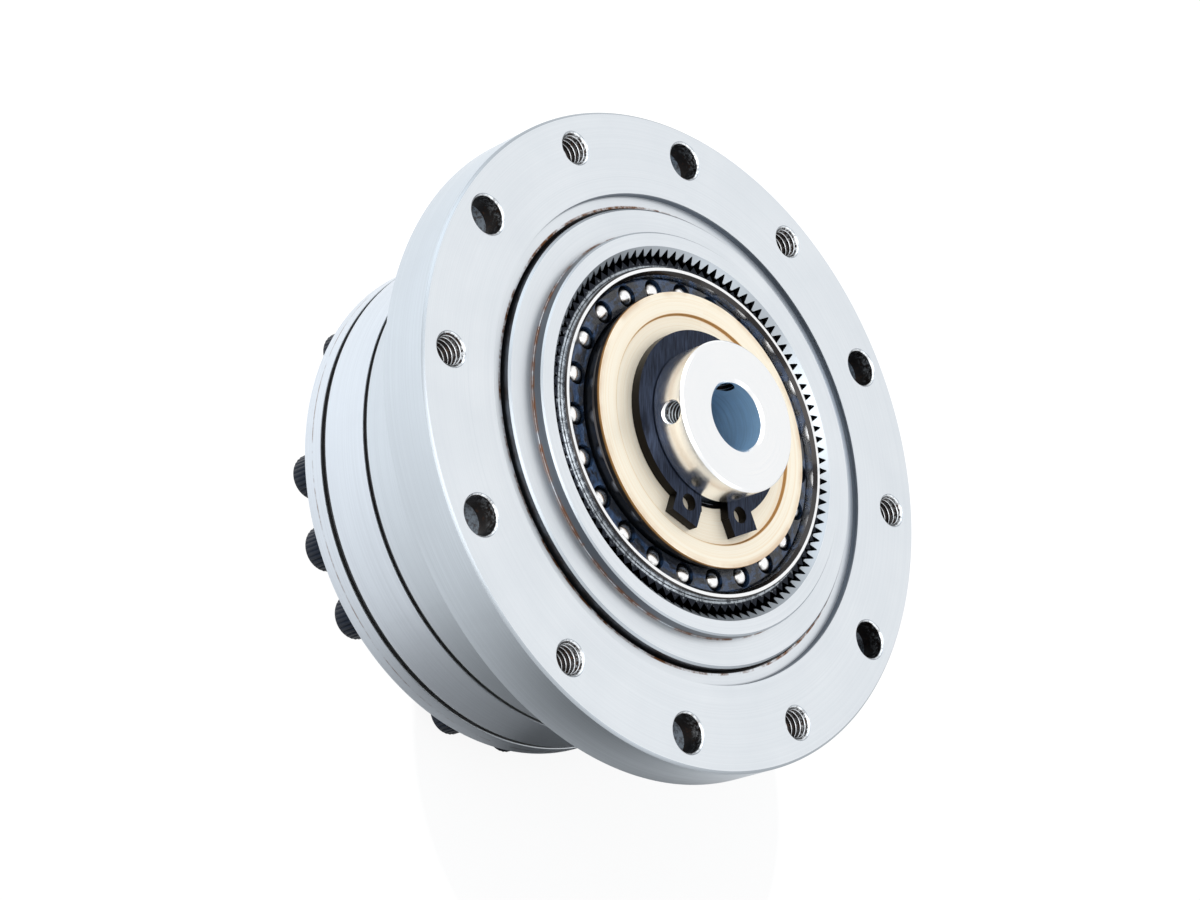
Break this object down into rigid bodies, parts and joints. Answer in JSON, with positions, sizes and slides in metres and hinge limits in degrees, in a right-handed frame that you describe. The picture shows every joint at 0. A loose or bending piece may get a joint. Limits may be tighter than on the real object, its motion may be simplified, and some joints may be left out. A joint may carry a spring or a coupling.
{
  "type": "cup-type strain wave gear",
  "caption": "Round strain wave reduction gear: bored input hub, oval ball bearing, thin toothed cup, toothed ring, drilled mounting flange and turning output flange on crossed rollers.",
  "frame": {"origin": "on the gear's axis, in the plane of the output face it stands on", "axes": "+Z along the gear's axis from the output face to the input hub; +X through a plain flange bolt hole"},
  "size_m": [0.079, 0.079, 0.0448],
  "materials": {
    "satin_steel": "fine ground and turned, satin",
    "tooth_steel": "hobbed alloy steel, oiled",
    "plug_steel": "machined, oiled",
    "hub_steel": "fine turned, bright",
    "bearing_chrome": "ground and lapped, bright",
    "cage_plastic": "dark moulded, greased",
    "bronze": "turned pale bronze",
    "blued_spring_steel": "blued, fine brushed",
    "black_screw": "black oxide",
    "black_rubber": "matte black"
  },
  "bodies": {
    "housing": {"mounting_flange": "satin_steel", "circular_spline": "satin_steel", "joint_seal_front": "black_rubber", "bearing_outer_ring_front": "satin_steel", "joint_seal_rear": "black_rubber", "bearing_outer_ring_rear": "satin_steel", "housing_screws": "black_screw", "oil_seal": "black_rubber"},
    "output": {"output_flange": "satin_steel", "flexspline": "tooth_steel", "flexspline_screws": "black_screw"},
    "roller_set": {"crossed_rollers": "bearing_chrome", "roller_spacers": "cage_plastic"},
    "wave_generator": {"wave_plug": "plug_steel", "bearing_inner_race": "bearing_chrome", "bearing_balls": "bearing_chrome", "ball_separator": "cage_plastic", "bearing_outer_race": "bearing_chrome", "rub_washer": "bronze"},
    "cross_slider": {"oldham_insert": "plug_steel"},
    "input_shaft": {"input_hub": "hub_steel", "snap_ring": "blued_spring_steel"}
  },
  "joints": [
    {"name": "input_spin", "type": "hinge", "parent": "housing", "child": "wave_generator", "pos_m": [0, 0, 0.035], "axis": [0, 0, 1], "continuous": true, "deforming": ["flexspline"]},
    {"name": "output_spin", "type": "hinge", "parent": "housing", "child": "output", "pos_m": [0, 0, 0.0088], "axis": [0, 0, 1], "continuous": true},
    {"name": "roller_set_spin", "type": "hinge", "parent": "housing", "child": "roller_set", "pos_m": [0, 0, 0.0088], "axis": [0, 0, 1], "continuous": true},
    {"name": "slider_shift", "type": "slide", "parent": "wave_generator", "child": "cross_slider", "axis": [-0.1736, 0.9848, 0], "range_m": [-0.00015, 0.00015]},
    {"name": "hub_shift", "type": "slide", "parent": "cross_slider", "child": "input_shaft", "axis": [-0.9848, -0.1736, 0], "range_m": [-0.00015, 0.00015]}
  ],
  "couplings": [
    {"joint": "output_spin", "follows": "input_spin", "ratio": -0.02},
    {"joint": "roller_set_spin", "follows": "input_spin", "ratio": -0.01}
  ]
}
